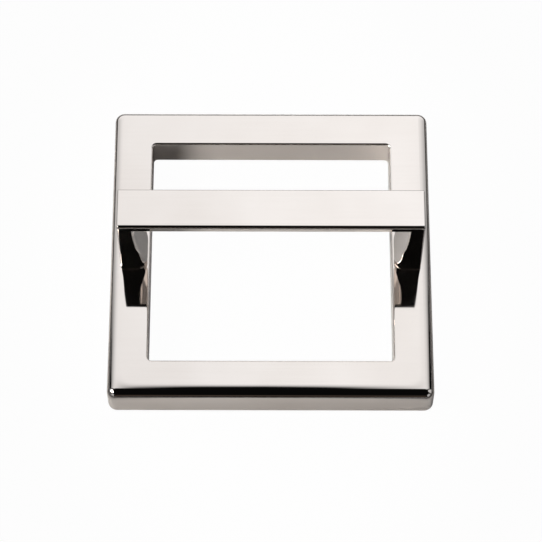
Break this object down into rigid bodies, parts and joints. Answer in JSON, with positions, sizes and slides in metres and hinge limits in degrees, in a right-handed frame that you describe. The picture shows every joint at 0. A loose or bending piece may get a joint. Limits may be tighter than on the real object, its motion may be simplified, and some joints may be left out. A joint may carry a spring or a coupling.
{
  "type": "cabinet pull",
  "caption": "Square-frame cabinet pull: a flat ring back plate carries a thin strap grip on flared legs, fixed by screws from behind the drawer front.",
  "frame": {"origin": "centre of the ring's back face, where it lies on the drawer front", "axes": "+X along the strap, +Y across it in the plane of the drawer front, +Z out of the drawer front"},
  "size_m": [0.074, 0.074, 0.0285],
  "materials": {
    "polished_nickel_base": "polished nickel plate on cast zinc",
    "polished_nickel_handle": "polished nickel plate on cast zinc"
  },
  "bodies": {
    "root": {"base_frame": "polished_nickel_base", "bar_handle": "polished_nickel_handle"}
  },
  "joints": []
}
